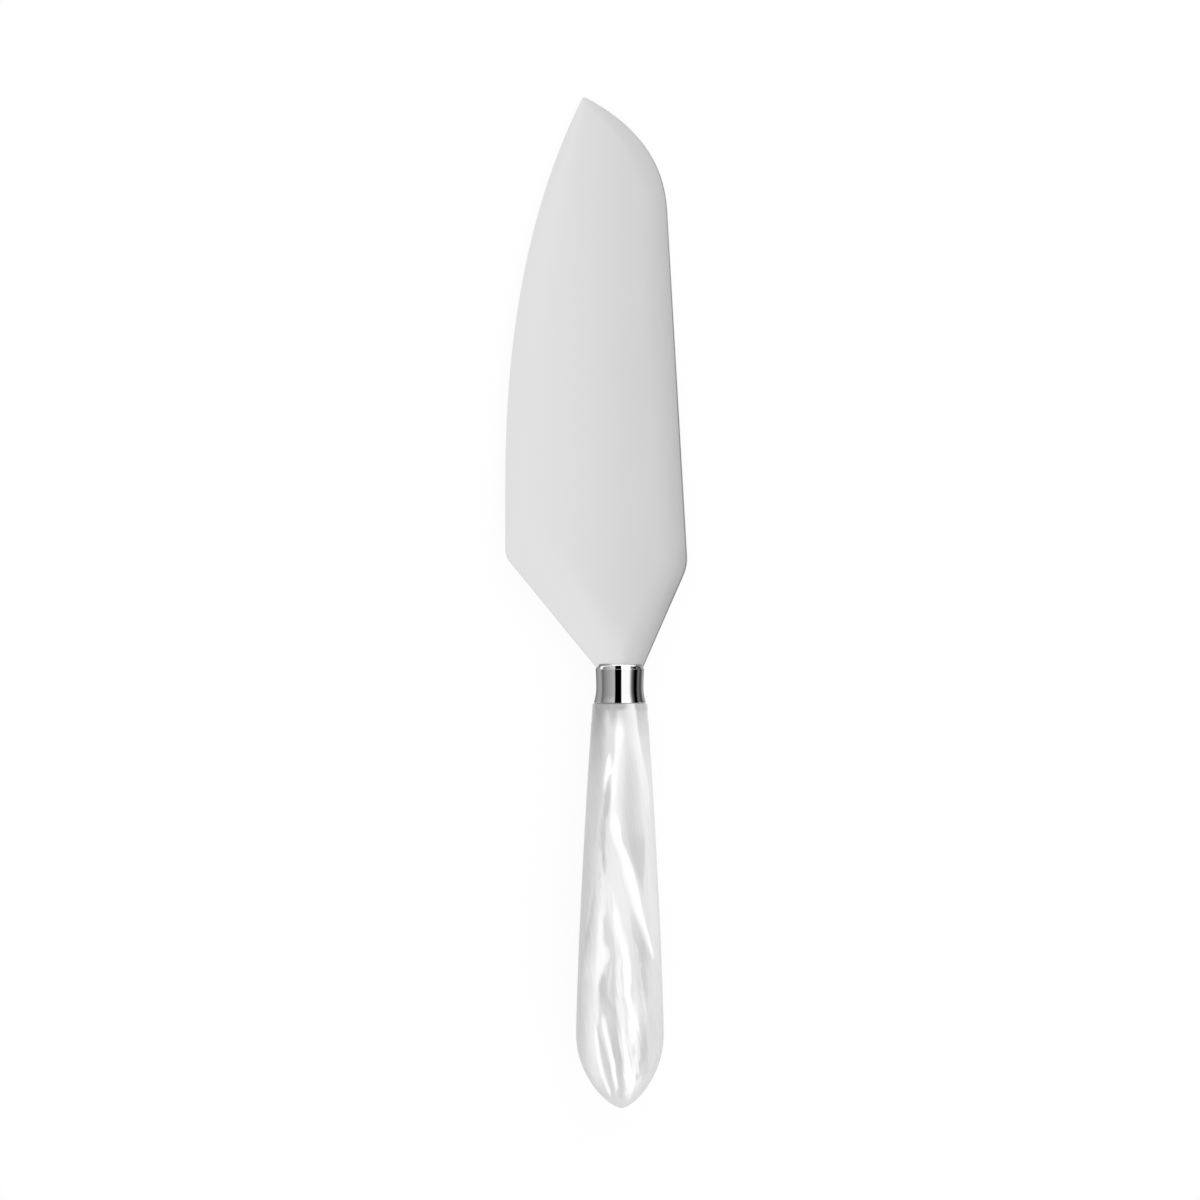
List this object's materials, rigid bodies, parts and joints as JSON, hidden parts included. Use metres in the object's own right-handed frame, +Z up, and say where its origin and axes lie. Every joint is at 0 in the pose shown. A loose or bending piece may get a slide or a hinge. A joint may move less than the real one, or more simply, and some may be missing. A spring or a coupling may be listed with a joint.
{
  "type": "cake server",
  "caption": "Cake server with an asymmetric flat steel blade with soft crowned edges, a polished flared ferrule and a tapered oval pearl-effect handle.",
  "frame": {"origin": "under the middle of the bounding box, level with the handle's belly, the lowest point", "axes": "+Y along the handle's axis from butt to blade tip, +X towards the spine of the blade, +Z up from the blade's upper face"},
  "size_m": [0.0482, 0.2674, 0.0166],
  "materials": {
    "blade_steel": "satin",
    "polished_steel": "mirror polished",
    "pearl_acrylic": "polished, pearl effect",
    "bonding_resin": "cured"
  },
  "bodies": {
    "root": {"blade": "blade_steel", "ferrule": "polished_steel", "handle": "pearl_acrylic", "tang_resin": "bonding_resin"}
  },
  "joints": []
}
